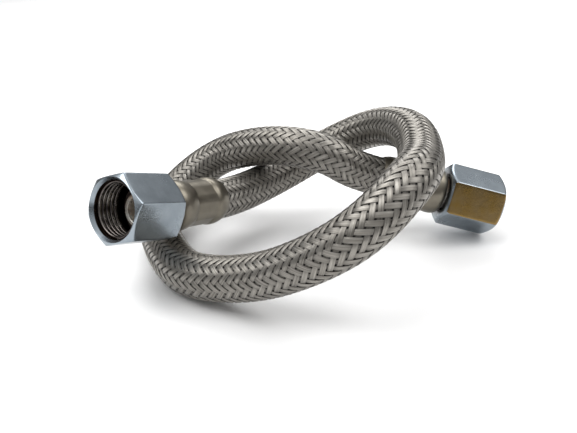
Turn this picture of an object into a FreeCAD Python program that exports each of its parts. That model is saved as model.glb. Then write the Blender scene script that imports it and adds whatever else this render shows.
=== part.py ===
import FreeCAD, Part
import math
import os

# Braided supply line: a rubber liner in a woven steel sleeve, tied in a loose overhand knot,
# with a crimped ferrule, a nipple and a swivel nut at each end. Millimetres, +Z up.
# Origin: on the floor, under the middle of the whole knot.

# ---- hose -------------------------------------------------------------------------------------
HOSE_OD = 17.0            # over the braid
BRAID_WALL = 0.6          # two crossing layers of flat wire ribbon
BRAID_GAP = 0.1           # between the braid and the liner
LINER_WALL = 1.3

# ---- ferrule: a pressed sleeve, crimped by eight jaws between two beads left round --------------
FERRULE_LENGTH = 28.3
FERRULE_END_WALL = 2.0    # turned in over the nipple's groove
FERRULE_WALL = 0.75       # at the crimped waist
FERRULE_LIP = 0.4         # wall at the rolled mouth that the braid leaves through
CRIMP_GAP = 0.05          # between ferrule, braid and liner and what they are pressed on
HOSE_BEAD = 0.5           # how far the bead on the hose side stands over the waist
HOSE_BEAD_AT = 3.3        # its crest, from the rolled mouth
NUT_BEAD = 0.9            # the same for the bead beside the nut
NUT_BEAD_AT = 4.3         # its crest, from the nut end
WAIST_START = 7.0         # from the rolled mouth
WAIST_LENGTH = 12.0
JAWS = 8
JAW_BITE = 0.2            # depth of each jaw's flat below the round waist
NUT_END_DROP = 2.0        # how far the nut end's edge lies inside the crest of its bead

# ---- nipple: brass insert, barbed under the ferrule, flanged inside the nut ----------------------
NIPPLE_WALL = 1.6         # at the barbs
NIPPLE_START = 2.0        # its inner end, from the ferrule's rolled mouth
BARBS = 5
BARB_DEPTH = 0.5
FLANGE_STEP = 2.065       # how far the flange stands out over the neck
FLANGE_THICKNESS = 1.8
FLANGE_THREAD_GAP = 0.3   # between the flange's rim and the thread's crests
SPIGOT_STEP = 0.45        # how much thinner the spigot is than the neck
SPIGOT_LENGTH = 4.3       # stands out of the flange through the gasket
SPIGOT_CHAMFER = 0.6

# ---- swivel nut: hexagon with a parallel pipe thread -------------------------------------------
NUT_ACROSS_FLATS = 24.0
NUT_LENGTH = 24.4
NUT_BACK_WALL = 4.4
NUT_BACK_CHAMFER = 0.45   # how far inside the flats the end faces' edges lie
CHAMFER_ANGLE = 30.0
THREAD_MAJOR = 20.955
THREAD_DEPTH = 1.162      # on one side
THREAD_LENGTH = 9.0
RELIEF_EXTRA = 0.22       # how far the relief behind the thread is cut below its roots
MOUTH_CONE = 1.4          # depth of the countersink at the mouth
MOUTH_CONE_WIDTH = 0.9
NECK_CLEARANCE = 0.4      # between the nut's back hole and the nipple's neck
NUT_FERRULE_GAP = 1.0     # between the ferrule's end and the nut pushed back against it
NUT_PLAY = 1.5            # how far the nut slides along the neck
NUT_ROLL_A = -9.5         # a corner's angle from straight up, about the outward axis, degrees
NUT_ROLL_B = -12.5
NUT_DRAWN_A = 0.6         # how far each nut stands forward of its pushed back place
NUT_DRAWN_B = 0.0
NUT_LEAN_A = 4.5          # how far its mouth tips up out of line with the neck, degrees
NUT_LEAN_B = 0.0
LEAN_PIVOT = 3.0          # where a leaning nut bears on the neck, from its back face

# ---- seals -----------------------------------------------------------------------------------
SLIP_THICKNESS = 0.8      # plastic slip washer behind the flange
SLIP_RIM = 0.1            # its rim lies this far inside the flange's
SLIP_CLEARANCE = 0.3     # between its hole and the neck
FACE_GAP = 0.15           # between the washer and the faces it turns against
GASKET_THICKNESS = 2.0
GASKET_RIM = 0.15         # the gasket's rim lies this far outside the flange's
GASKET_GRIP = 0.05        # between its hole and the spigot

# ---- route of the hose, from ferrule to ferrule -------------------------------------------------
# Rounded points of least-squares fits; those near the ends were adjusted afterwards.
ROUTE = [
    (-42.8, 11.8, 23.3), (-35.3, 23.2, 19.9), (-15, 45, 22), (9.5, 51, 35), (30, 40.5, 47),
    (40.5, 15.5, 51.5), (38.5, -13.5, 47.5), (30, -37, 50), (13.5, -50.5, 38), (-4, -47, 25),
    (-23.5, -39, 14), (-47.5, -27.5, 8.5), (-59, -9.5, 8.5), (-69.5, 19, 8.5), (-63.5, 40, 18),
    (-44.5, 47.5, 31), (-25.5, 35.5, 39.5), (-8.5, 24.5, 42.5), (6, 22.2, 39.4), (17.8, 24.2, 31.1),
    (28.4, 24.2, 28.1),
]
ARC_SHARE = 0.45          # share of the shorter run that a bend's arc takes up

# ---- sizes that follow from those above ----------------------------------------------------------
hose_r = HOSE_OD / 2
braid_bore_r = hose_r - BRAID_WALL
liner_r = braid_bore_r - BRAID_GAP
liner_bore_r = liner_r - LINER_WALL
ferrule_bore_r = hose_r + CRIMP_GAP
waist_r = ferrule_bore_r + FERRULE_WALL
crimped_length = FERRULE_LENGTH - FERRULE_END_WALL - CRIMP_GAP
stem_r = liner_bore_r - CRIMP_GAP
waterway_r = stem_r - NIPPLE_WALL
thread_major_r = THREAD_MAJOR / 2
thread_minor_r = thread_major_r - THREAD_DEPTH
flange_r = thread_minor_r - FLANGE_THREAD_GAP
neck_r = flange_r - FLANGE_STEP
spigot_r = neck_r - SPIGOT_STEP
nut_back = FERRULE_LENGTH + NUT_FERRULE_GAP          # of a nut pushed back
slip_start = nut_back + NUT_BACK_WALL + FACE_GAP
flange_start = slip_start + SLIP_THICKNESS + NUT_PLAY + FACE_GAP
flange_end = flange_start + FLANGE_THICKNESS
spigot_end = flange_end + SPIGOT_LENGTH

UP = FreeCAD.Vector(0, 0, 1)
AXIS = FreeCAD.Vector(0, 0, 1)
START = FreeCAD.Vector(0, 0, 0)


def spin(edges):
    """A solid turned about the local Z axis from a closed outline in the XZ plane."""
    return Part.Face(Part.Wire(edges)).revolve(START, AXIS, 360)


def at(radius, height):
    return FreeCAD.Vector(radius, 0, height)


def outline(points):
    """The straight edges of a closed outline."""
    corners = [at(*point) for point in points]
    return [Part.LineSegment(a, b).toShape() for a, b in zip(corners, corners[1:] + corners[:1])]


def ring(bore, rim, start, length):
    return spin(outline([(bore, start), (rim, start), (rim, start + length), (bore, start + length)]))


def prism(sides, flat_r, start, length, roll=0.0):
    """A regular prism; roll is one corner's angle from local Y, about local Z, in degrees."""
    corner_r = flat_r / math.cos(math.pi / sides)
    turns = [math.radians(90 + roll + 360 * i / sides) for i in range(sides)]
    corners = [FreeCAD.Vector(corner_r * math.cos(t), corner_r * math.sin(t), start) for t in turns]
    face = Part.Face(Part.makePolygon(corners + corners[:1]))
    return face.extrude(AXIS * length)


# ---- the pieces of one end, along local Z from the ferrule's rolled mouth outwards ---------------
def make_ferrule():
    lip_r = ferrule_bore_r + FERRULE_LIP
    hose_crest_r = waist_r + HOSE_BEAD
    nut_crest_r = waist_r + NUT_BEAD
    waist_end = WAIST_START + WAIST_LENGTH
    bore_end = FERRULE_LENGTH - FERRULE_END_WALL
    end_r = nut_crest_r - NUT_END_DROP
    hole_r = stem_r + 2 * CRIMP_GAP
    lip, hose_crest = at(lip_r, 0), at(hose_crest_r, HOSE_BEAD_AT)
    waist_a, waist_b = at(waist_r, WAIST_START), at(waist_r, waist_end)
    nut_crest, nut_end = at(nut_crest_r, FERRULE_LENGTH - NUT_BEAD_AT), at(end_r, FERRULE_LENGTH)
    hole_b, hole_a = at(hole_r, FERRULE_LENGTH), at(hole_r, bore_end)
    bore_b, bore_a = at(ferrule_bore_r, bore_end), at(ferrule_bore_r, 0)
    shell = spin([
        Part.Arc(lip, hose_crest, waist_a).toShape(),
        Part.LineSegment(waist_a, waist_b).toShape(),
        Part.Arc(waist_b, nut_crest, nut_end).toShape(),
        Part.LineSegment(nut_end, hole_b).toShape(),
        Part.LineSegment(hole_b, hole_a).toShape(),
        Part.LineSegment(hole_a, bore_b).toShape(),
        Part.LineSegment(bore_b, bore_a).toShape(),
        Part.LineSegment(bore_a, lip).toShape(),
    ])
    jaws = ring(1.0, 2 * waist_r, WAIST_START, WAIST_LENGTH)
    jaws = jaws.cut(prism(JAWS, waist_r - JAW_BITE, WAIST_START - 1, WAIST_LENGTH + 2))
    return shell.cut(jaws)


def make_nipple():
    barb_pitch = (crimped_length - NIPPLE_START - 1) / BARBS
    points = [(waterway_r, NIPPLE_START), (stem_r - BARB_DEPTH, NIPPLE_START)]
    for i in range(BARBS):
        tooth = NIPPLE_START + (i + 1) * barb_pitch
        points += [(stem_r, tooth - CRIMP_GAP), (stem_r - BARB_DEPTH, tooth)]
    points += [
        (stem_r - BARB_DEPTH, crimped_length),
        (stem_r + CRIMP_GAP, crimped_length),
        (stem_r + CRIMP_GAP, FERRULE_LENGTH),
        (neck_r, FERRULE_LENGTH),
        (neck_r, flange_start),
        (flange_r, flange_start),
        (flange_r, flange_end),
        (spigot_r, flange_end),
        (spigot_r, spigot_end - SPIGOT_CHAMFER),
        (spigot_r - SPIGOT_CHAMFER, spigot_end),
        (waterway_r, spigot_end),
    ]
    return spin(outline(points))


def make_gasket():
    return ring(spigot_r + GASKET_GRIP, flange_r + GASKET_RIM, flange_end, GASKET_THICKNESS)


def make_slip_washer():
    return ring(neck_r + SLIP_CLEARANCE, flange_r - SLIP_RIM, slip_start, SLIP_THICKNESS)


def make_nut(roll):
    flat_r = NUT_ACROSS_FLATS / 2
    face_r = flat_r - NUT_BACK_CHAMFER
    corner_r = flat_r / math.cos(math.pi / 6)
    chamfer = (corner_r - face_r) * math.tan(math.radians(CHAMFER_ANGLE))
    back, mouth = nut_back, nut_back + NUT_LENGTH
    blank = prism(6, flat_r, back, NUT_LENGTH, roll).common(spin(outline([
        (0, back), (face_r, back), (corner_r, back + chamfer),
        (corner_r, mouth - chamfer), (face_r, mouth), (0, mouth),
    ])))
    inner_face = back + NUT_BACK_WALL
    thread_end = mouth - MOUTH_CONE
    thread_start = thread_end - THREAD_LENGTH
    bore = spin(outline([
        (0, back - 1), (neck_r + NECK_CLEARANCE, back - 1), (neck_r + NECK_CLEARANCE, inner_face),
        (thread_major_r + RELIEF_EXTRA, inner_face), (thread_major_r + RELIEF_EXTRA, thread_start),
        (thread_major_r, thread_start), (thread_major_r, thread_end),
        (thread_major_r + MOUTH_CONE_WIDTH, mouth), (thread_major_r + MOUTH_CONE_WIDTH, mouth + 1),
        (0, mouth + 1),
    ]))
    return blank.cut(bore)


# ---- the hose ------------------------------------------------------------------------------------
def bend(before, corner, after):
    """The arc at one point of the route, and its radius."""
    back, ahead = before - corner, after - corner
    reach = ARC_SHARE * min(back.Length, ahead.Length)
    half_turn = (math.pi - back.getAngle(ahead)) / 2
    radius = reach / math.tan(half_turn)
    back.normalize()
    ahead.normalize()
    to_middle = back + ahead
    to_middle.normalize()
    middle = corner + to_middle * (radius / math.cos(half_turn) - radius)
    return Part.Arc(corner + back * reach, middle, corner + ahead * reach), radius


def hose_path(points, end_a, end_b):
    """Straight runs joined by tangent arcs, carried on straight into both ferrules."""
    arcs = [bend(*points[i - 1:i + 2]) for i in range(1, len(points) - 1)]
    edges, place = [], end_a
    for arc, _ in arcs:
        edges += [Part.LineSegment(place, arc.StartPoint).toShape(), arc.toShape()]
        place = arc.EndPoint
    edges.append(Part.LineSegment(place, end_b).toShape())
    return Part.Wire(edges), [radius for _, radius in arcs]


def sweep(path, start, axis, radius):
    circle = Part.Wire(Part.Circle(start, axis, radius).toShape())
    return path.makePipeShell([circle], True, False)


def make_tube(path, start, axis, radius, bore_r, name):
    tube = sweep(path, start, axis, radius).cut(sweep(path, start, axis, bore_r))
    expected = math.pi * (radius ** 2 - bore_r ** 2) * path.Length
    print(f"{name}: volume {tube.Volume:.0f} mm3, section times length {expected:.0f} mm3")
    return tube


def end_frame(mouth, inwards):
    """Where an end's local frame stands: Z outwards, Y as near to up as it can be."""
    z = mouth - inwards
    z.normalize()
    y = UP - z * UP.dot(z)
    y.normalize()
    x = y.cross(z)
    turn = FreeCAD.Rotation(FreeCAD.Matrix(x.x, y.x, z.x, 0, x.y, y.y, z.y, 0, x.z, y.z, z.z, 0))
    return FreeCAD.Placement(mouth, turn), z


def placed(shape, frame, slide=0.0, lean=0.0):
    """A copy of a piece carried to its end of the hose, slid outwards and tipped up on the neck."""
    copy = shape.copy()
    tip = FreeCAD.Rotation(FreeCAD.Vector(1, 0, 0), -lean)
    copy.Placement = frame.multiply(FreeCAD.Placement(AXIS * slide, tip, AXIS * (nut_back + LEAN_PIVOT)))
    return copy


points = [FreeCAD.Vector(*point) for point in ROUTE]
frame_a, out_a = end_frame(points[0], points[1])
frame_b, out_b = end_frame(points[-1], points[-2])
tip_a = points[0] + out_a * crimped_length
tip_b = points[-1] + out_b * crimped_length
path, radii = hose_path(points, tip_a, tip_b)
print("bend radii in mm:", [round(radius) for radius in radii])
print(f"hose between the ferrules: {path.Length - 2 * crimped_length:.1f} mm")

ferrule, nipple, gasket, slip_washer = make_ferrule(), make_nipple(), make_gasket(), make_slip_washer()
parts = {
    "braid_sleeve": make_tube(path, tip_a, out_a, hose_r, braid_bore_r, "braid_sleeve"),
    "inner_tube": make_tube(path, tip_a, out_a, liner_r, liner_bore_r, "inner_tube"),
}
ends = [
    ("a", frame_a, NUT_ROLL_A, NUT_DRAWN_A, NUT_LEAN_A),
    ("b", frame_b, NUT_ROLL_B, NUT_DRAWN_B, NUT_LEAN_B),
]
for end, frame, roll, slide, lean in ends:
    parts[f"ferrule_{end}"] = placed(ferrule, frame)
    parts[f"nipple_{end}"] = placed(nipple, frame)
    parts[f"gasket_{end}"] = placed(gasket, frame)
    parts[f"slip_washer_{end}"] = placed(slip_washer, frame, slide, lean)
    parts[f"nut_{end}"] = placed(make_nut(roll), frame, slide, lean)

os.makedirs("parts", exist_ok=True)
for name, shape in parts.items():
    solid = shape.Solids[0] if len(shape.Solids) == 1 else shape
    solid.exportStep(f"parts/{name}.step")
    box = solid.BoundBox
    print(f"{name}: valid {solid.isValid()}, solids {len(shape.Solids)}, volume {solid.Volume:.0f} mm3,",
          f"x {box.XMin:.1f} {box.XMax:.1f}, y {box.YMin:.1f} {box.YMax:.1f}, z {box.ZMin:.1f} {box.ZMax:.1f}")
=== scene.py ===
import math

import bpy
import numpy as np
from mathutils import Matrix, Vector


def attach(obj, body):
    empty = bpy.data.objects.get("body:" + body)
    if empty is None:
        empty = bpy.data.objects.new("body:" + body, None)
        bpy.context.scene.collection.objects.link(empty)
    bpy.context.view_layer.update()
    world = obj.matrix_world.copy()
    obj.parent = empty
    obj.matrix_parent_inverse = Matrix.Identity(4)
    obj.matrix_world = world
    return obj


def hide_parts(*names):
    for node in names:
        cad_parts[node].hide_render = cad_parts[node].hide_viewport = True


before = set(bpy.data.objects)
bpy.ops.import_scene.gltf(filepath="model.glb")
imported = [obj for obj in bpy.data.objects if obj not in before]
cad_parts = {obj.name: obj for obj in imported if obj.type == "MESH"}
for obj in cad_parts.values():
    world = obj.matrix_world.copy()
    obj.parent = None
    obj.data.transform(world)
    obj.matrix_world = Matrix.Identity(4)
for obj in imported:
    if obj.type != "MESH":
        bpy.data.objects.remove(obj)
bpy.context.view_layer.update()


# ---- Camera ------------------------------------------------------------------------------------
# Stands about 21 cm in front of the knot's middle and looks 24 degrees down, almost level. Its
# place and angles come from the same least-squares fits as the hose's route, apart from a chosen
# turn of 0.9 degrees, and its lens was picked from fits at several focal lengths.
lens = bpy.data.cameras.new("camera")
lens.sensor_width = 36.0
lens.lens = 36.19
lens.clip_start = 0.01
camera = bpy.data.objects.new("camera", lens)
camera.location = (-0.0095, -0.2140, 0.1163)
camera.rotation_euler = (math.radians(65.858), math.radians(0.9), 0.0)
bpy.context.collection.objects.link(camera)
bpy.context.scene.camera = camera
bpy.context.scene.view_settings.view_transform = "Standard"


# ---- Liner -------------------------------------------------------------------------------------
# The rubber tube that carries the water: black EPDM, extruded, seen only as the dark in the
# braid's windows. The whole hose follows its line, which is a loose overhand knot.
LINER_R = 0.00775
# The part's own route in metres: rounded points of least-squares fits, adjusted near the ends.
ROUTE = [
    (-0.0428, 0.0118, 0.0233), (-0.0353, 0.0232, 0.0199), (-0.015, 0.045, 0.022), (0.0095, 0.051, 0.035),
    (0.030, 0.0405, 0.047), (0.0405, 0.0155, 0.0515), (0.0385, -0.0135, 0.0475), (0.030, -0.037, 0.050),
    (0.0135, -0.0505, 0.038), (-0.004, -0.047, 0.025), (-0.0235, -0.039, 0.014), (-0.0475, -0.0275, 0.0085),
    (-0.059, -0.0095, 0.0085), (-0.0695, 0.019, 0.0085), (-0.0635, 0.040, 0.018), (-0.0445, 0.0475, 0.031),
    (-0.0255, 0.0355, 0.0395), (-0.0085, 0.0245, 0.0425), (0.006, 0.0222, 0.0394), (0.0178, 0.0242, 0.0311),
    (0.0284, 0.0242, 0.0281),
]


class Signal:
    """One output of a node. Arithmetic on it adds the Math nodes that work it out."""

    def __init__(self, tree, node, socket):
        self.tree = tree
        self.node = node
        self.socket = socket

    def __getitem__(self, name):
        return Signal(self.tree, self.node, self.node.outputs[name])

    def math(self, operation, *others):
        sockets = dict(enumerate((self,) + others))
        return self.tree.add("ShaderNodeMath", {"operation": operation}, sockets)

    def __add__(self, other):
        return self.math("ADD", other)

    def __mul__(self, other):
        return self.math("MULTIPLY", other)

    def __sub__(self, other):
        return self.math("SUBTRACT", other)

    def __rsub__(self, other):
        return (self * -1.0) + other

    def __truediv__(self, other):
        return self.math("DIVIDE", other)

    def __pow__(self, other):
        return self.math("POWER", other)

    def __lt__(self, other):
        return self.math("LESS_THAN", other)

    __radd__ = __add__
    __rmul__ = __mul__


class Tree:
    """A node tree, shader or geometry, that is filled one node at a time."""

    def __init__(self, tree):
        self.tree = tree
        self.tree.nodes.clear()

    def add(self, kind, settings=None, sockets=None, out=0):
        node = self.tree.nodes.new(kind)
        for name, value in (settings or {}).items():
            if name == "stops":
                ramp = node.color_ramp
                while len(ramp.elements) < len(value):
                    ramp.elements.new(1.0)
                for element, (place, colour) in zip(ramp.elements, value):
                    element.position = place
                    element.color = colour
            else:
                setattr(node, name, value)
        for key, value in (sockets or {}).items():
            if isinstance(value, Signal):
                self.tree.links.new(value.socket, node.inputs[key])
            else:
                node.inputs[key].default_value = value
        return Signal(self, node, node.outputs[out] if len(node.outputs) else None)

    def blend(self, share, a, b):
        """Two colours mixed by a share of the second."""
        return self.add("ShaderNodeMix", {"data_type": "RGBA"}, {0: share, 6: a, 7: b}, out=2)


def new_material(name):
    material = bpy.data.materials.new(name)
    material.use_nodes = True
    return material, Tree(material.node_tree)


def black_rubber():
    material, t = new_material("black_rubber")
    place = t.add("ShaderNodeTexCoord", out=3)
    dust = t.add("ShaderNodeTexNoise", None, {"Vector": place, "Scale": 900.0, "Detail": 3.0})
    colour = t.blend(dust, (0.008, 0.008, 0.009, 1), (0.022, 0.021, 0.020, 1))
    shader = t.add("ShaderNodeBsdfPrincipled", None, {"Base Color": colour, "Roughness": dust * 0.2 + 0.6})
    t.add("ShaderNodeOutputMaterial", None, {"Surface": shader})
    return material


def route_curve(name, points):
    """One open NURBS spline along the route."""
    curve = bpy.data.curves.new(name, "CURVE")
    curve.dimensions = "3D"
    spline = curve.splines.new("NURBS")
    spline.points.add(len(points) - 1)
    for point, place in zip(spline.points, points):
        point.co = (*place, 1.0)
    spline.order_u = 3
    spline.use_endpoint_u = True
    spline.resolution_u = 32
    return curve


def new_object(name, data, material=None):
    piece = bpy.data.objects.new(name, data)
    bpy.context.collection.objects.link(piece)
    if material:
        piece.data.materials.append(material)
    return piece


# The line that the braid follows, read from the spline before it gets its thickness.
bare = new_object("bare_route", route_curve("bare_route", ROUTE))
line_mesh = bpy.data.meshes.new_from_object(bare.evaluated_get(bpy.context.evaluated_depsgraph_get()))
LINE = [vertex.co.copy() for vertex in line_mesh.vertices]
bpy.data.objects.remove(bare)
bpy.data.meshes.remove(line_mesh)

liner_curve = route_curve("liner", ROUTE)
liner_curve.bevel_depth = LINER_R
liner_curve.bevel_resolution = 12
liner = new_object("liner", liner_curve, black_rubber())
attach(liner, "hose")
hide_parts("braid_sleeve", "inner_tube")


# ---- Braid -------------------------------------------------------------------------------------
# Thirty-two flat ribbons of bright stainless wire, sixteen wound each way round the liner and
# woven two over, two under. Each ribbon is six wires side by side, laid by a braiding machine.
CARRIERS = 16             # ribbons wound each way
RIBBONS_A_PIECE = 4
PITCH = 0.0520            # along the hose, for one turn of a ribbon
RIBBON_WIRES = 6
RIBBON_FILL = 0.775       # share of the spacing that a ribbon covers
RIBBON_R = 0.00821        # middle of the weave
WEAVE = 0.00016           # how far a ribbon swings out and in from there
RIBBON_THICKNESS = 0.00022
WIRE_CROWN = 0.00007      # how far each wire stands over the groove beside it
BRAID_STEP = 0.0007
TUCKED_IN = 0.003         # how far the ribbons run on under each ferrule
BRAID_SEED = 4.0


def braided_wire():
    material, t = new_material("braided_wire")
    across = t.add("ShaderNodeAttribute", {"attribute_name": "across"}, out="Fac")
    along = t.add("ShaderNodeAttribute", {"attribute_name": "along"}, out="Fac")
    lift = t.add("ShaderNodeAttribute", {"attribute_name": "lift"}, out="Fac")
    carrier = t.add("ShaderNodeAttribute", {"attribute_name": "carrier"}, out="Fac")
    place = t.add("ShaderNodeTexCoord", out=3)
    # Each wire has a tone of its own, which wanders slowly along it.
    wire = (across * RIBBON_WIRES).math("FLOOR")
    wire_place = t.add("ShaderNodeCombineXYZ", None, {0: wire * 7.31, 1: carrier * 3.17, 2: along * 60.0})
    tone = t.add("ShaderNodeTexNoise", None, {"Vector": wire_place, "Scale": 1.0, "Detail": 2.0})
    # Drawing marks: fine streaks that run along the wire.
    streak_place = t.add("ShaderNodeCombineXYZ", None, {0: across * 90.0, 1: carrier * 5.0, 2: along * 500.0})
    streak = t.add("ShaderNodeTexNoise", None, {"Vector": streak_place, "Scale": 1.0, "Detail": 3.0})
    grime = t.add("ShaderNodeTexNoise", None, {"Vector": place, "Scale": 45.0, "Detail": 4.0})
    # Painted shade: the grooves between the wires, and each ribbon's two edges where it meets its neighbours,
    # are darkened towards black.
    groove = (across * RIBBON_WIRES).math("FRACT") - 0.5
    groove = (groove * groove * 4.0) ** 3.0
    edge = (across - 0.5).math("ABSOLUTE") * 2.0
    edge = edge ** 9.0
    tone = ((tone - 0.5) * 1.8 + (streak - 0.5) * 0.9 + 0.48).math("MAXIMUM", 0.0).math("MINIMUM", 1.0)
    steel = t.blend(tone, (0.125, 0.117, 0.106, 1), (0.49, 0.47, 0.435, 1))
    steel = t.blend(grime * 0.5, steel, (0.22, 0.20, 0.165, 1))
    # Painted shade: a ribbon is darkened where its lift is low, where it dips under the ribbons that cross
    # it.
    steel = t.blend((1.0 - lift) * 0.62, steel, (0.045, 0.042, 0.038, 1))
    steel = t.blend((groove * 0.40 + edge * 0.85).math("MINIMUM", 1.0), steel, (0.008, 0.0075, 0.007, 1))
    shader = t.add("ShaderNodeBsdfPrincipled", None, {
        "Base Color": steel,
        "Metallic": 0.85,
        "Roughness": streak * 0.14 + 0.27,
    })
    t.add("ShaderNodeOutputMaterial", None, {"Surface": shader})
    return material


def ribbon_tree():
    """A geometry tree that winds flat wire ribbons round the curve it is given."""
    group = bpy.data.node_groups.new("wound_ribbons", "GeometryNodeTree")
    t = Tree(group)
    face = group.interface
    face.new_socket("Geometry", in_out="INPUT", socket_type="NodeSocketGeometry")
    for name, kind in (
        ("Hand", "Float"), ("First", "Int"), ("Count", "Int"), ("Carriers", "Int"), ("Pitch", "Float"),
        ("Radius", "Float"), ("Fill", "Float"), ("Wires", "Int"), ("Weave", "Float"),
        ("Thickness", "Float"), ("Crown", "Float"), ("Step", "Float"), ("Seed", "Float"),
        ("Material", "Material"),
    ):
        face.new_socket(name, in_out="INPUT", socket_type="NodeSocket" + kind)
    face.new_socket("Geometry", in_out="OUTPUT", socket_type="NodeSocketGeometry")
    given = t.add("NodeGroupInput")
    turn = 2.0 * math.pi
    carriers, hand, pitch = given["Carriers"], given["Hand"], given["Pitch"]

    def stored(geometry, name, value, kind="FLOAT"):
        return t.add("GeometryNodeStoreNamedAttribute", {"data_type": kind, "domain": "POINT"},
                     {"Geometry": geometry, "Name": name, "Value": value})

    def named(name, kind="FLOAT"):
        return t.add("GeometryNodeInputNamedAttribute", {"data_type": kind}, {"Name": name})

    # One evenly stepped copy of the line for each ribbon, twisted about itself into its helix.
    line = t.add("GeometryNodeResampleCurve", {"mode": "LENGTH"},
                 {"Curve": given["Geometry"], "Length": given["Step"]})
    copies = t.add("GeometryNodeDuplicateElements", {"domain": "SPLINE"},
                   {"Geometry": line, "Amount": given["Count"]})
    lines = stored(copies, "carrier", copies["Duplicate Index"] + given["First"])
    lines = stored(lines, "along", t.add("GeometryNodeSplineParameter", out="Length"))
    lines = stored(lines, "centre", t.add("GeometryNodeInputPosition"), "FLOAT_VECTOR")
    carrier, along = named("carrier"), named("along")
    wander_place = t.add("ShaderNodeCombineXYZ", None,
                         {0: along * 70.0, 1: carrier * 4.7, 2: hand * 9.0 + given["Seed"]})
    wander = t.add("ShaderNodeTexNoise", None, {"Vector": wander_place, "Scale": 1.0, "Detail": 1.0})
    lines = stored(lines, "wander", (wander - 0.5) * 0.07)
    twist = hand * along * turn / pitch + carrier * turn / carriers + named("wander")
    lines = t.add("GeometryNodeSetCurveTilt", None, {"Curve": lines, "Tilt": twist})
    # The ribbon's section: a crowned top of wires side by side, and a plain underside.
    top_points = given["Wires"] * 4 + 1
    section = t.add("GeometryNodeCurvePrimitiveCircle", {"mode": "RADIUS"},
                    {"Resolution": top_points + 8, "Radius": 1.0})
    index = t.add("GeometryNodeInputIndex")
    on_top = index < top_points
    under_share = 1.0 - (index - top_points) / 7.0
    share = on_top * (index / (top_points - 1.0)) + (1.0 - on_top) * under_share
    crown = (share * given["Wires"] * math.pi).math("SINE").math("ABSOLUTE") * given["Crown"]
    shoulder = ((share - 0.5).math("ABSOLUTE") * 2.0) ** 6.0 * given["Thickness"] * 0.35
    half_thick = given["Thickness"] * 0.5
    height = on_top * (half_thick + crown - given["Crown"] * 0.5 - shoulder)
    height = height - (1.0 - on_top) * (half_thick - shoulder)
    angle = (share - 0.5) * given["Fill"] * turn / carriers
    reach = given["Radius"] + height
    spot = t.add("ShaderNodeCombineXYZ", None,
                 {0: angle.math("COSINE") * reach, 1: angle.math("SINE") * reach})
    section = t.add("GeometryNodeSetPosition", None, {"Geometry": section, "Position": spot})
    section = stored(section, "across", share)
    section = stored(section, "bearing", angle)
    ribbons = t.add("GeometryNodeCurveToMesh", None,
                    {"Curve": lines, "Profile Curve": section, "Fill Caps": True})
    # Over two, under two: the swing follows the crossing ribbons' own slant.
    crossing = carrier * 2.0 + (named("bearing") + named("wander")) * carriers / turn
    crossing = crossing + hand * along * 2.0 * carriers / pitch - 0.5
    swing = hand * (crossing * (math.pi / 2)).math("COSINE") * 1.35
    swing = t.add("ShaderNodeClamp", None, {"Value": swing, "Min": -1.0, "Max": 1.0})
    # The lift also sets the painted shade that the wire's material lays where a ribbon dips under.
    ribbons = stored(ribbons, "lift", swing * 0.5 + 0.5)
    outwards = t.add("ShaderNodeVectorMath", {"operation": "SUBTRACT"},
                     {0: t.add("GeometryNodeInputPosition"), 1: named("centre", "FLOAT_VECTOR")})
    outwards = t.add("ShaderNodeVectorMath", {"operation": "NORMALIZE"}, {0: outwards})
    shift = t.add("ShaderNodeVectorMath", {"operation": "SCALE"},
                  {0: outwards, "Scale": swing * given["Weave"]})
    ribbons = t.add("GeometryNodeSetPosition", None, {"Geometry": ribbons, "Offset": shift})
    ribbons = t.add("GeometryNodeRealizeInstances", None, {"Geometry": ribbons})
    ribbons = t.add("GeometryNodeSetMaterial", None, {"Geometry": ribbons, "Material": given["Material"]})
    t.add("NodeGroupOutput", None, {"Geometry": ribbons})
    return group


def grown(name, data, group, values):
    """The plain mesh that a geometry tree makes of an object's data."""
    seed = bpy.data.objects.new(name, data)
    bpy.context.collection.objects.link(seed)
    modifier = seed.modifiers.new(name, "NODES")
    modifier.node_group = group
    for item in group.interface.items_tree:
        if item.in_out == "INPUT" and item.name in values:
            modifier[item.identifier] = values[item.name]
    mesh = bpy.data.meshes.new_from_object(seed.evaluated_get(bpy.context.evaluated_depsgraph_get()))
    seed.modifiers.remove(modifier)
    bpy.data.objects.remove(seed)
    mesh.name = name
    return mesh


# The ribbons' line runs on straight into both ferrules.
into_a = (LINE[0] - LINE[1]).normalized()
into_b = (LINE[-1] - LINE[-2]).normalized()
tucked = [LINE[0] + into_a * TUCKED_IN] + LINE + [LINE[-1] + into_b * TUCKED_IN]
braid_line = bpy.data.curves.new("braid_line", "CURVE")
braid_line.dimensions = "3D"
spline = braid_line.splines.new("POLY")
spline.points.add(len(tucked) - 1)
for point, place in zip(spline.points, tucked):
    point.co = (*place, 1.0)

wound = ribbon_tree()
wire_steel = braided_wire()
for hand, side in ((1.0, "right"), (-1.0, "left")):
    for start in range(0, CARRIERS, RIBBONS_A_PIECE):
        name = f"braid_{side}_{start // RIBBONS_A_PIECE + 1}"
        mesh = grown(name, braid_line, wound, {
            "Hand": hand, "First": start, "Count": RIBBONS_A_PIECE, "Carriers": CARRIERS, "Pitch": PITCH,
            "Radius": RIBBON_R, "Fill": RIBBON_FILL, "Wires": RIBBON_WIRES, "Weave": WEAVE,
            "Thickness": RIBBON_THICKNESS, "Crown": WIRE_CROWN, "Step": BRAID_STEP, "Seed": BRAID_SEED,
            "Material": wire_steel,
        })
        ribbon = new_object(name, mesh)
        mesh.shade_smooth()
        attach(ribbon, "hose")


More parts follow.
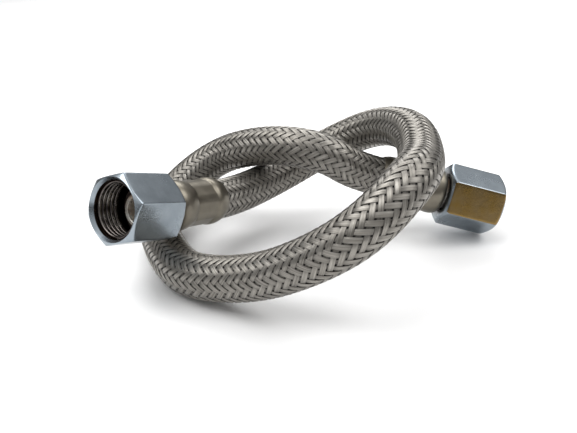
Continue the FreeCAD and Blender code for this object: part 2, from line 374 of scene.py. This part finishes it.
# ---- Ferrules ----------------------------------------------------------------------------------
# Stainless sleeves, drawn and pressed over each end of the braid. Eight jaws crimp the waist and
# leave a flat each, with a round bead on both sides and an edge turned in over the nipple.
WAIST = (0.0070, 0.0190)
WAIST_R = 0.00930
JAWS = 8
JAW_BITE = 0.00020
FERRULE_OUTLINE = [       # radius and distance from the mouth that the hose leaves through
    (0.00855, 0.00000), (0.00872, 0.00000), (0.00893, 0.00015), (0.00922, 0.00110), (0.00953, 0.00220),
    (0.00974, 0.00320), (0.00983, 0.00420), (0.00985, 0.00500), (0.00978, 0.00590), (0.00962, 0.00655),
    (0.00940, 0.00690), (0.00930, 0.00720), (0.00930, 0.00780), (0.00930, 0.01100), (0.00930, 0.01500),
    (0.00930, 0.01800), (0.00930, 0.01870), (0.00926, 0.01905), (0.00940, 0.01935), (0.00966, 0.02030),
    (0.00990, 0.02140), (0.01008, 0.02260), (0.01018, 0.02390), (0.01016, 0.02510), (0.01002, 0.02610),
    (0.00978, 0.02700), (0.00940, 0.02775), (0.00895, 0.02820), (0.00860, 0.02830), (0.00720, 0.02830),
    (0.00665, 0.02825), (0.00655, 0.02810), (0.00655, 0.02640), (0.00855, 0.02630), (0.00855, 0.01500),
]
FERRULE_STEPS = 192       # points round the sleeve
FERRULE_RING_GAP = 0.0006
JAW_EASE = 0.0004         # length over which a jaw's flat reaches its depth
FERRULE_SKIN_R = 0.0090   # anything wider is the sleeve's outside
NUT_BEARING = 0.0323      # where a leaning nut bears on the neck, from the ferrule's mouth
NUT_DRAWN = {"a": 0.0006, "b": 0.0}       # how far each nut stands forward
NUT_LEAN = {"a": 4.5, "b": 0.0}           # degrees, mouth up


def end_place(mouth, behind):
    """Carries a piece to its end of the hose: its Z runs outwards, its Y as near to up as it can."""
    z = (mouth - behind).normalized()
    y = (Vector((0, 0, 1)) - z * z.z).normalized()
    x = y.cross(z)
    turn = Matrix((x, y, z)).transposed().to_4x4()
    return Matrix.Translation(mouth) @ turn


def tipped(slide, lean):
    """Slid outwards, then tipped up about where a leaning nut bears on the neck."""
    bearing = Vector((0, 0, NUT_BEARING))
    tip = Matrix.Rotation(math.radians(-lean), 4, "X")
    return Matrix.Translation(bearing + Vector((0, 0, slide))) @ tip @ Matrix.Translation(-bearing)


ENDS = {                  # where each end stands, and how its nut stands there
    "a": (end_place(Vector(ROUTE[0]), Vector(ROUTE[1])), tipped(NUT_DRAWN["a"], NUT_LEAN["a"])),
    "b": (end_place(Vector(ROUTE[-1]), Vector(ROUTE[-2])), tipped(NUT_DRAWN["b"], NUT_LEAN["b"])),
}


def turned(name, rings, closed=True):
    """A mesh from rings of points about the local Z axis; closed joins the last ring to the first."""
    steps = len(rings[0])
    verts = [point for ring in rings for point in ring]
    faces = []
    for i in range(len(rings) if closed else len(rings) - 1):
        here, there = i * steps, (i + 1) % len(rings) * steps
        for j in range(steps):
            k = (j + 1) % steps
            faces.append((here + j, here + k, there + k, there + j))
    mesh = bpy.data.meshes.new(name)
    mesh.from_pydata(verts, [], faces)
    mesh.update()
    return mesh


def round_rings(outline, steps):
    angles = [2 * math.pi * j / steps for j in range(steps)]
    return [[(r * math.cos(a), r * math.sin(a), z) for a in angles] for r, z in outline]


def finer(outline, longest, closed=True):
    """The outline with its long straights divided, so that what varies along them shows."""
    fine = []
    for (r0, z0), (r1, z1) in zip(outline, outline[1:] + outline[:closed]):
        count = max(1, math.ceil(math.hypot(r1 - r0, z1 - z0) / longest))
        fine += [(r0 + (r1 - r0) * i / count, z0 + (z1 - z0) * i / count) for i in range(count)]
    return fine if closed else fine + outline[-1:]


def crimped_rings(steps):
    """The ferrule's rings, with a jaw's flat pressed into the waist every eighth of a turn."""
    rings = []
    for r, z in finer(FERRULE_OUTLINE, FERRULE_RING_GAP):
        into = min(z - WAIST[0], WAIST[1] - z)
        bite = min(max(into / JAW_EASE, 0.0), 1.0) if r > FERRULE_SKIN_R else 0.0
        ring = []
        for j in range(steps):
            angle = 2 * math.pi * j / steps
            off = (angle + math.pi / JAWS) % (2 * math.pi / JAWS) - math.pi / JAWS
            flat = (WAIST_R - JAW_BITE) / math.cos(off)
            pressed = min(r, flat) if bite > 0 else r
            radius = r + (pressed - r) * bite
            ring.append((radius * math.cos(angle), radius * math.sin(angle), z))
        rings.append(ring)
    return rings


def pressed_stainless():
    material, t = new_material("pressed_stainless")
    place = t.add("ShaderNodeTexCoord", out=3)
    cloud = t.add("ShaderNodeTexNoise", None, {"Vector": place, "Scale": 160.0, "Detail": 4.0})
    grain = t.add("ShaderNodeTexNoise", None, {"Vector": place, "Scale": 2600.0, "Detail": 2.0})
    steel = t.blend(cloud, (0.12, 0.108, 0.086, 1), (0.25, 0.228, 0.186, 1))
    lines = t.add("ShaderNodeBump", None, {"Height": grain, "Strength": 0.12, "Distance": 0.00005})
    shader = t.add("ShaderNodeBsdfPrincipled", None, {
        "Base Color": steel, "Metallic": 1.0,
        "Roughness": cloud * 0.16 + grain * 0.08 + 0.24, "Normal": lines,
    })
    t.add("ShaderNodeOutputMaterial", None, {"Surface": shader})
    return material


def finish_piece(mesh, place, name, material, body, node, crease=32.0):
    """Carries a mesh to its end of the hose and lets it stand for its CAD node."""
    mesh.transform(place)
    mesh.shade_smooth()
    mesh.set_sharp_from_angle(angle=math.radians(crease))
    piece = new_object(name, mesh, material)
    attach(piece, body)
    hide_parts(node)
    return piece


ferrule_steel = pressed_stainless()
for end, (place, loose) in ENDS.items():
    mesh = turned(f"ferrule_sleeve_{end}", crimped_rings(FERRULE_STEPS))
    finish_piece(mesh, place, f"ferrule_sleeve_{end}", ferrule_steel,
                                 "hose", f"ferrule_{end}")


# ---- Nipples -----------------------------------------------------------------------------------
# Turned brass, thinly nickel plated: a barbed stem inside the liner, a neck that the nut turns on,
# and a flange whose spigot stands out through the gasket.
NIPPLE_STEPS = 128
NIPPLE_OUTLINE = [        # radius and distance from the ferrule's mouth
    (0.00485, 0.0020), (0.00595, 0.0020), (0.00640, 0.0067), (0.00595, 0.0068), (0.00640, 0.0115),
    (0.00595, 0.0116), (0.00640, 0.0163), (0.00595, 0.0164), (0.00640, 0.0211), (0.00595, 0.0212),
    (0.00640, 0.0258), (0.00595, 0.0259), (0.00595, 0.02625), (0.00650, 0.02625), (0.00650, 0.0283),
    (0.00690, 0.0283), (0.00695, 0.02835), (0.00695, 0.0363), (0.00895, 0.0363), (0.00901, 0.03636),
    (0.00901, 0.03804), (0.00895, 0.0381), (0.00655, 0.0381), (0.00650, 0.03815), (0.00650, 0.0418),
    (0.00638, 0.0421), (0.00610, 0.0424), (0.00600, 0.0424), (0.00500, 0.0424), (0.00488, 0.04232),
    (0.00485, 0.0421),
]


def plated_brass():
    material, t = new_material("plated_brass")
    place = t.add("ShaderNodeTexCoord", out=3)
    patch = t.add("ShaderNodeTexNoise", None, {"Vector": place, "Scale": 130.0, "Detail": 3.0})
    # Real wear: patches where the nickel is worn through to the brass.
    worn = t.add("ShaderNodeValToRGB", {"stops": [(0.42, (0, 0, 0, 1)), (0.62, (1, 1, 1, 1))]},
                 {"Fac": patch})
    metal = t.blend(worn, (0.80, 0.80, 0.75, 1), (0.50, 0.37, 0.27, 1))
    shader = t.add("ShaderNodeBsdfPrincipled", None, {
        "Base Color": metal, "Metallic": 0.5, "Roughness": patch * 0.2 + 0.18,
    })
    t.add("ShaderNodeOutputMaterial", None, {"Surface": shader})
    return material


nipple_brass = plated_brass()
for end, (place, loose) in ENDS.items():
    mesh = turned(f"nipple_tail_{end}", round_rings(NIPPLE_OUTLINE, NIPPLE_STEPS))
    finish_piece(mesh, place, f"nipple_tail_{end}", nipple_brass, "hose", f"nipple_{end}")


# ---- Gaskets and slip washers ------------------------------------------------------------------
# A black rubber ring, stamped from sheet, sits on the spigot against the flange. A thin natural
# nylon washer lies loose on the neck, so that the nut turns without dragging the flange round.
RING_STEPS = 96
GASKET_OUTLINE = [
    (0.00655, 0.0382), (0.00665, 0.0381), (0.00905, 0.0381), (0.00916, 0.0382), (0.00916, 0.0400),
    (0.00905, 0.0401), (0.00665, 0.0401), (0.00655, 0.0400),
]
WASHER_OUTLINE = [
    (0.00725, 0.03390), (0.00728, 0.03385), (0.00888, 0.03385), (0.00891, 0.03390), (0.00891, 0.03460),
    (0.00888, 0.03465), (0.00728, 0.03465), (0.00725, 0.03460),
]


def plain_finish(name, dark, light, roughness):
    material, t = new_material(name)
    place = t.add("ShaderNodeTexCoord", out=3)
    cloud = t.add("ShaderNodeTexNoise", None, {"Vector": place, "Scale": 700.0, "Detail": 4.0})
    shader = t.add("ShaderNodeBsdfPrincipled", None, {
        "Base Color": t.blend(cloud, dark, light), "Roughness": cloud * 0.2 + roughness,
    })
    t.add("ShaderNodeOutputMaterial", None, {"Surface": shader})
    return material


gasket_rubber = plain_finish("gasket_rubber", (0.030, 0.022, 0.018, 1), (0.075, 0.055, 0.045, 1), 0.45)
washer_nylon = plain_finish("washer_nylon", (0.62, 0.60, 0.53, 1), (0.74, 0.72, 0.66, 1), 0.35)
for end, (place, loose) in ENDS.items():
    mesh = turned(f"gasket_ring_{end}", round_rings(GASKET_OUTLINE, RING_STEPS))
    finish_piece(mesh, place, f"gasket_ring_{end}", gasket_rubber, "hose", f"gasket_{end}")
    mesh = turned(f"slip_ring_{end}", round_rings(WASHER_OUTLINE, RING_STEPS))
    finish_piece(mesh, place @ loose, f"slip_ring_{end}", washer_nylon,
                 f"slip_{end}", f"slip_washer_{end}")


# ---- Swivel nuts -------------------------------------------------------------------------------
# Hexagon bar, 24 mm across the flats, chamfered on both faces, bored and threaded G1/2, then
# nickel plated. Each hangs on its nipple's neck, free to turn, and hides the slip washer.
NUT_FLAT_R = 0.0120
NUT_BACK = 0.0293
NUT_LENGTH = 0.0244
NUT_FACE_R = 0.01155
CHAMFER_SLOPE = math.tan(math.radians(30))
CORNER_SHARPNESS = 80     # of the hexagon's corners: higher is sharper
EDGE_SHARPNESS = 30       # of the edges that the end chamfers leave
NUT_ROLL = {"a": -9.5, "b": -12.5}        # a corner's angle from straight up, degrees
NUT_BORE = [              # radius and distance from the back face, from the mouth inwards
    (0.01138, 0.02440), (0.01133, 0.02433), (0.01055, 0.02302), (0.01048, 0.02290), (0.01048, 0.01400),
    (0.01070, 0.01370), (0.01070, 0.00450), (0.01060, 0.00440), (0.00745, 0.00440), (0.00735, 0.00430),
    (0.00735, 0.00020), (0.00755, 0.00000),
]
NUT_FLAT_STEPS = 26       # points along each flat
NUT_REFLECTING_FLAT = {"a": -1, "b": 1}      # the flat painted with an amber reflection, -1 for none
REFLECTION_FROM_BACK = 8        # rings at either end of that flat left without the painted reflection
REFLECTION_FROM_MOUTH = 9
COUNTERSINK_RINGS = 3
NUT_BORE_RING_GAP = 0.0015
NUT_CREASE = 38.0
THREAD_PITCH = 0.001814
THREAD_TURNS = 5.2
THREAD_START = 0.0128     # from the nut's back face
THREAD_MAJOR_R = 0.01048
THREAD_DEPTH = 0.00112


def nut_bore():
    return finer(NUT_BORE, NUT_BORE_RING_GAP, closed=False)


def nut_angles(per_flat):
    """Angles round the nut, closer together near its corners."""
    angles = []
    for side in range(6):
        for j in range(per_flat):
            swing = math.sin(math.pi / 2 * (2 * j / per_flat - 1))
            angles.append(math.radians(60 * side + 30 + 30 * swing))
    return angles


def nut_rings(roll):
    """The hexagon's rings from its back face to its mouth, then back down the bore."""
    angles = nut_angles(NUT_FLAT_STEPS)
    near = [0.0, 0.00003, 0.00008] + [0.00015 + 0.0001 * i for i in range(24)]
    middle = [0.0030, 0.0045, 0.0075, NUT_LENGTH / 2]
    half = near + middle
    heights = half + [NUT_LENGTH - z for z in reversed(half[:-1])]
    rings = []
    for z in heights:
        cone = NUT_FACE_R + min(z, NUT_LENGTH - z) / CHAMFER_SLOPE
        ring = []
        for angle in angles:
            off = angle % math.radians(60) - math.radians(30)
            sides = [max(math.cos(off + math.radians(turn)), 0.0) for turn in (-60, 0, 60)]
            hexagon = sum(side ** CORNER_SHARPNESS for side in sides) ** (-1 / CORNER_SHARPNESS)
            shares = hexagon ** -EDGE_SHARPNESS + (cone / NUT_FLAT_R) ** -EDGE_SHARPNESS
            ring.append((NUT_FLAT_R * shares ** (-1 / EDGE_SHARPNESS), angle, z))
        rings.append(ring)
    rings += [[(r, angle, z) for angle in angles] for r, z in nut_bore()]
    start = math.radians(90 + roll)
    return [
        [(r * math.cos(a + start), r * math.sin(a + start), z + NUT_BACK) for r, a, z in ring]
        for ring in rings
    ]


def mark_nut(mesh, reflecting_side):
    """Stores how far each point lies inside the bore, and on the flat with a painted amber reflection."""
    steps = 6 * NUT_FLAT_STEPS
    outer = len(mesh.vertices) // steps - len(nut_bore())
    inside = mesh.attributes.new("inside", "FLOAT", "POINT")
    worn = mesh.attributes.new("worn", "FLOAT", "POINT")
    for i in range(len(mesh.vertices)):
        ring, step = divmod(i, steps)
        inside.data[i].value = float(ring > outer + COUNTERSINK_RINGS)
        on_flat = step // NUT_FLAT_STEPS == reflecting_side
        worn.data[i].value = float(on_flat and REFLECTION_FROM_BACK < ring < outer - REFLECTION_FROM_MOUTH)


def bright_nickel():
    material, t = new_material("bright_nickel")
    place = t.add("ShaderNodeTexCoord", out=3)
    mottle = t.add("ShaderNodeTexNoise", None, {"Vector": place, "Scale": 220.0, "Detail": 5.0})
    broad = t.add("ShaderNodeTexNoise", None, {"Vector": place, "Scale": 60.0, "Detail": 2.0})
    grain = t.add("ShaderNodeTexNoise", None, {"Vector": place, "Scale": 1800.0, "Detail": 3.0})
    inside = t.add("ShaderNodeAttribute", {"attribute_name": "inside"}, out="Fac")
    worn = t.add("ShaderNodeAttribute", {"attribute_name": "worn"}, out="Fac")
    metal = t.blend(mottle, (0.205, 0.238, 0.268, 1), (0.365, 0.412, 0.452, 1))
    # Painted reflection: one flat of a nut is tinted amber, as if it mirrored something amber beside it.
    metal = t.blend(worn * (mottle * 0.3 + 0.8).math("MINIMUM", 1.0), metal, (0.21, 0.135, 0.042, 1))
    # Painted shade: the bore, past the countersink, is coloured near black.
    metal = t.blend(inside, metal, (0.060, 0.041, 0.031, 1))
    ripple = t.add("ShaderNodeBump", None,
                   {"Height": mottle + grain * 0.04, "Strength": 0.14, "Distance": 0.0003})
    shader = t.add("ShaderNodeBsdfPrincipled", None, {
        "Base Color": metal, "Metallic": 1.0,
        "Roughness": broad * 0.14 + grain * 0.05 + 0.17, "Normal": ripple,
    })
    t.add("ShaderNodeOutputMaterial", None, {"Surface": shader})
    return material


def cut_thread():
    material, t = new_material("cut_thread")
    place = t.add("ShaderNodeTexCoord", out=3)
    cloud = t.add("ShaderNodeTexNoise", None, {"Vector": place, "Scale": 300.0, "Detail": 3.0})
    crest = t.add("ShaderNodeAttribute", {"attribute_name": "crest"}, out="Fac")
    # Painted shade: the ridge, deep in the bore, is coloured near black. Painted highlight: its crests are
    # coloured light in patches, which bare picks out.
    painted_bore_shade = t.blend(cloud, (0.045, 0.037, 0.034, 1), (0.110, 0.094, 0.086, 1))
    bare = ((cloud - 0.35) * 4.0).math("MAXIMUM", 0.15).math("MINIMUM", 1.0)
    metal = t.blend(crest ** 10.0 * bare, painted_bore_shade, (0.58, 0.56, 0.53, 1))
    shader = t.add("ShaderNodeBsdfPrincipled", None, {
        "Base Color": metal, "Metallic": 1.0, "Roughness": cloud * 0.15 + 0.18,
    })
    t.add("ShaderNodeOutputMaterial", None, {"Surface": shader})
    return material


def thread_tree():
    """A geometry tree that winds a rounded ridge up a helix, fading out at both ends."""
    group = bpy.data.node_groups.new("thread_ridge", "GeometryNodeTree")
    t = Tree(group)
    face = group.interface
    face.new_socket("Geometry", in_out="INPUT", socket_type="NodeSocketGeometry")
    for name, kind in (
        ("Major Radius", "Float"), ("Depth", "Float"), ("Pitch", "Float"), ("Turns", "Float"),
        ("Material", "Material"),
    ):
        face.new_socket(name, in_out="INPUT", socket_type="NodeSocket" + kind)
    face.new_socket("Geometry", in_out="OUTPUT", socket_type="NodeSocketGeometry")
    given = t.add("NodeGroupInput")
    pitch = given["Pitch"]
    helix = t.add("GeometryNodeCurveSpiral", None, {
        "Resolution": 96, "Rotations": given["Turns"], "Start Radius": given["Major Radius"],
        "End Radius": given["Major Radius"], "Height": given["Turns"] * pitch,
    })
    helix = t.add("GeometryNodeSetCurveNormal", {"mode": "Z_UP"}, {"Curve": helix})
    share = t.add("GeometryNodeSplineParameter", out="Factor")
    fade = ((1.0 - share).math("MINIMUM", share) * 16.0).math("MINIMUM", 1.0)
    helix = t.add("GeometryNodeSetCurveRadius", None, {"Curve": helix, "Radius": fade * 0.9 + 0.1})
    # The ridge's section: rounded crest inwards, its foot sunk a little into the bore.
    section = t.add("GeometryNodeCurvePrimitiveCircle", {"mode": "RADIUS"},
                    {"Resolution": 12, "Radius": 1.0})
    spot = t.add("ShaderNodeSeparateXYZ", None, {0: t.add("GeometryNodeInputPosition")})
    rise = (spot["X"] * 0.5 + 0.5) ** 0.8
    section = t.add("GeometryNodeStoreNamedAttribute", {"data_type": "FLOAT", "domain": "POINT"},
                    {"Geometry": section, "Name": "crest", "Value": rise})
    depth = rise * given["Depth"] * 1.12 - given["Depth"] * 0.12
    width = spot["Y"] * pitch * 0.47
    section_spot = t.add("ShaderNodeCombineXYZ", None, {0: depth, 1: width})
    section = t.add("GeometryNodeSetPosition", None, {"Geometry": section, "Position": section_spot})
    ridge = t.add("GeometryNodeCurveToMesh", None,
                  {"Curve": helix, "Profile Curve": section, "Fill Caps": True})
    ridge = t.add("GeometryNodeRealizeInstances", None, {"Geometry": ridge})
    ridge = t.add("GeometryNodeSetMaterial", None, {"Geometry": ridge, "Material": given["Material"]})
    t.add("NodeGroupOutput", None, {"Geometry": ridge})
    return group


nut_nickel = bright_nickel()
thread_steel = cut_thread()
ridge_tree = thread_tree()
for end, (place, loose) in ENDS.items():
    slid = place @ loose
    mesh = turned(f"swivel_nut_{end}", nut_rings(NUT_ROLL[end]))
    mark_nut(mesh, NUT_REFLECTING_FLAT[end])
    nut = finish_piece(mesh, slid, f"swivel_nut_{end}", nut_nickel,
                       f"nut_{end}", f"nut_{end}", crease=NUT_CREASE)
    seed = bpy.data.meshes.new(f"nut_thread_{end}")
    mesh = grown(f"nut_thread_{end}", seed, ridge_tree, {
        "Major Radius": THREAD_MAJOR_R, "Depth": THREAD_DEPTH, "Pitch": THREAD_PITCH, "Turns": THREAD_TURNS,
        "Material": thread_steel,
    })
    mesh.transform(slid @ Matrix.Translation((0, 0, NUT_BACK + THREAD_START)))
    mesh.shade_smooth()
    thread = new_object(f"nut_thread_{end}", mesh)
    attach(thread, f"nut_{end}")


# ---- Floor and light ---------------------------------------------------------------------------
# A plain sheet of white paper and three large soft lamps: one above the knot on each side, and
# one above the paper behind it.
def paper():
    material, t = new_material("paper")
    shader = t.add("ShaderNodeBsdfPrincipled", None, {"Base Color": (0.93, 0.93, 0.93, 1), "Roughness": 0.9})
    t.add("ShaderNodeOutputMaterial", None, {"Surface": shader})
    return material


floor_mesh = bpy.data.meshes.new("floor")
floor_mesh.from_pydata([(-3, -3, 0), (3, -3, 0), (3, 3, 0), (-3, 3, 0)], [], [(0, 1, 2, 3)])
floor = new_object("floor", floor_mesh, paper())

world = bpy.data.worlds.new("studio")
world.use_nodes = True
world_tree = Tree(world.node_tree)
# Bright overhead and dim towards the horizon, so that the metal shows its shape.
ray = world_tree.add("ShaderNodeSeparateXYZ", None, {0: world_tree.add("ShaderNodeTexCoord")})
height = ((ray["Z"] - 0.15) / 0.65).math("MAXIMUM", 0.0).math("MINIMUM", 1.0)
sky = world_tree.add("ShaderNodeBackground", None,
                     {"Color": (1.0, 1.0, 1.0, 1), "Strength": height * 0.78 + 0.12})
world_tree.add("ShaderNodeOutputWorld", None, {"Surface": sky})
bpy.context.scene.world = world


def soft_lamp(name, place, aim, size, power):
    light = bpy.data.lights.new(name, "AREA")
    light.shape = "DISK"
    light.size = size
    light.energy = power
    lamp = bpy.data.objects.new(name, light)
    lamp.location = place
    lamp.rotation_euler = (Vector(aim) - Vector(place)).to_track_quat("-Z", "Y").to_euler()
    bpy.context.collection.objects.link(lamp)


soft_lamp("key", (-0.35, -0.10, 0.70), (0, 0, 0.03), 0.60, 3.4)
soft_lamp("fill", (0.50, 0.05, 0.60), (0, 0, 0.03), 0.50, 2.0)
soft_lamp("backdrop", (0.0, 1.3, 1.1), (0, 1.1, 0), 1.2, 14.0)
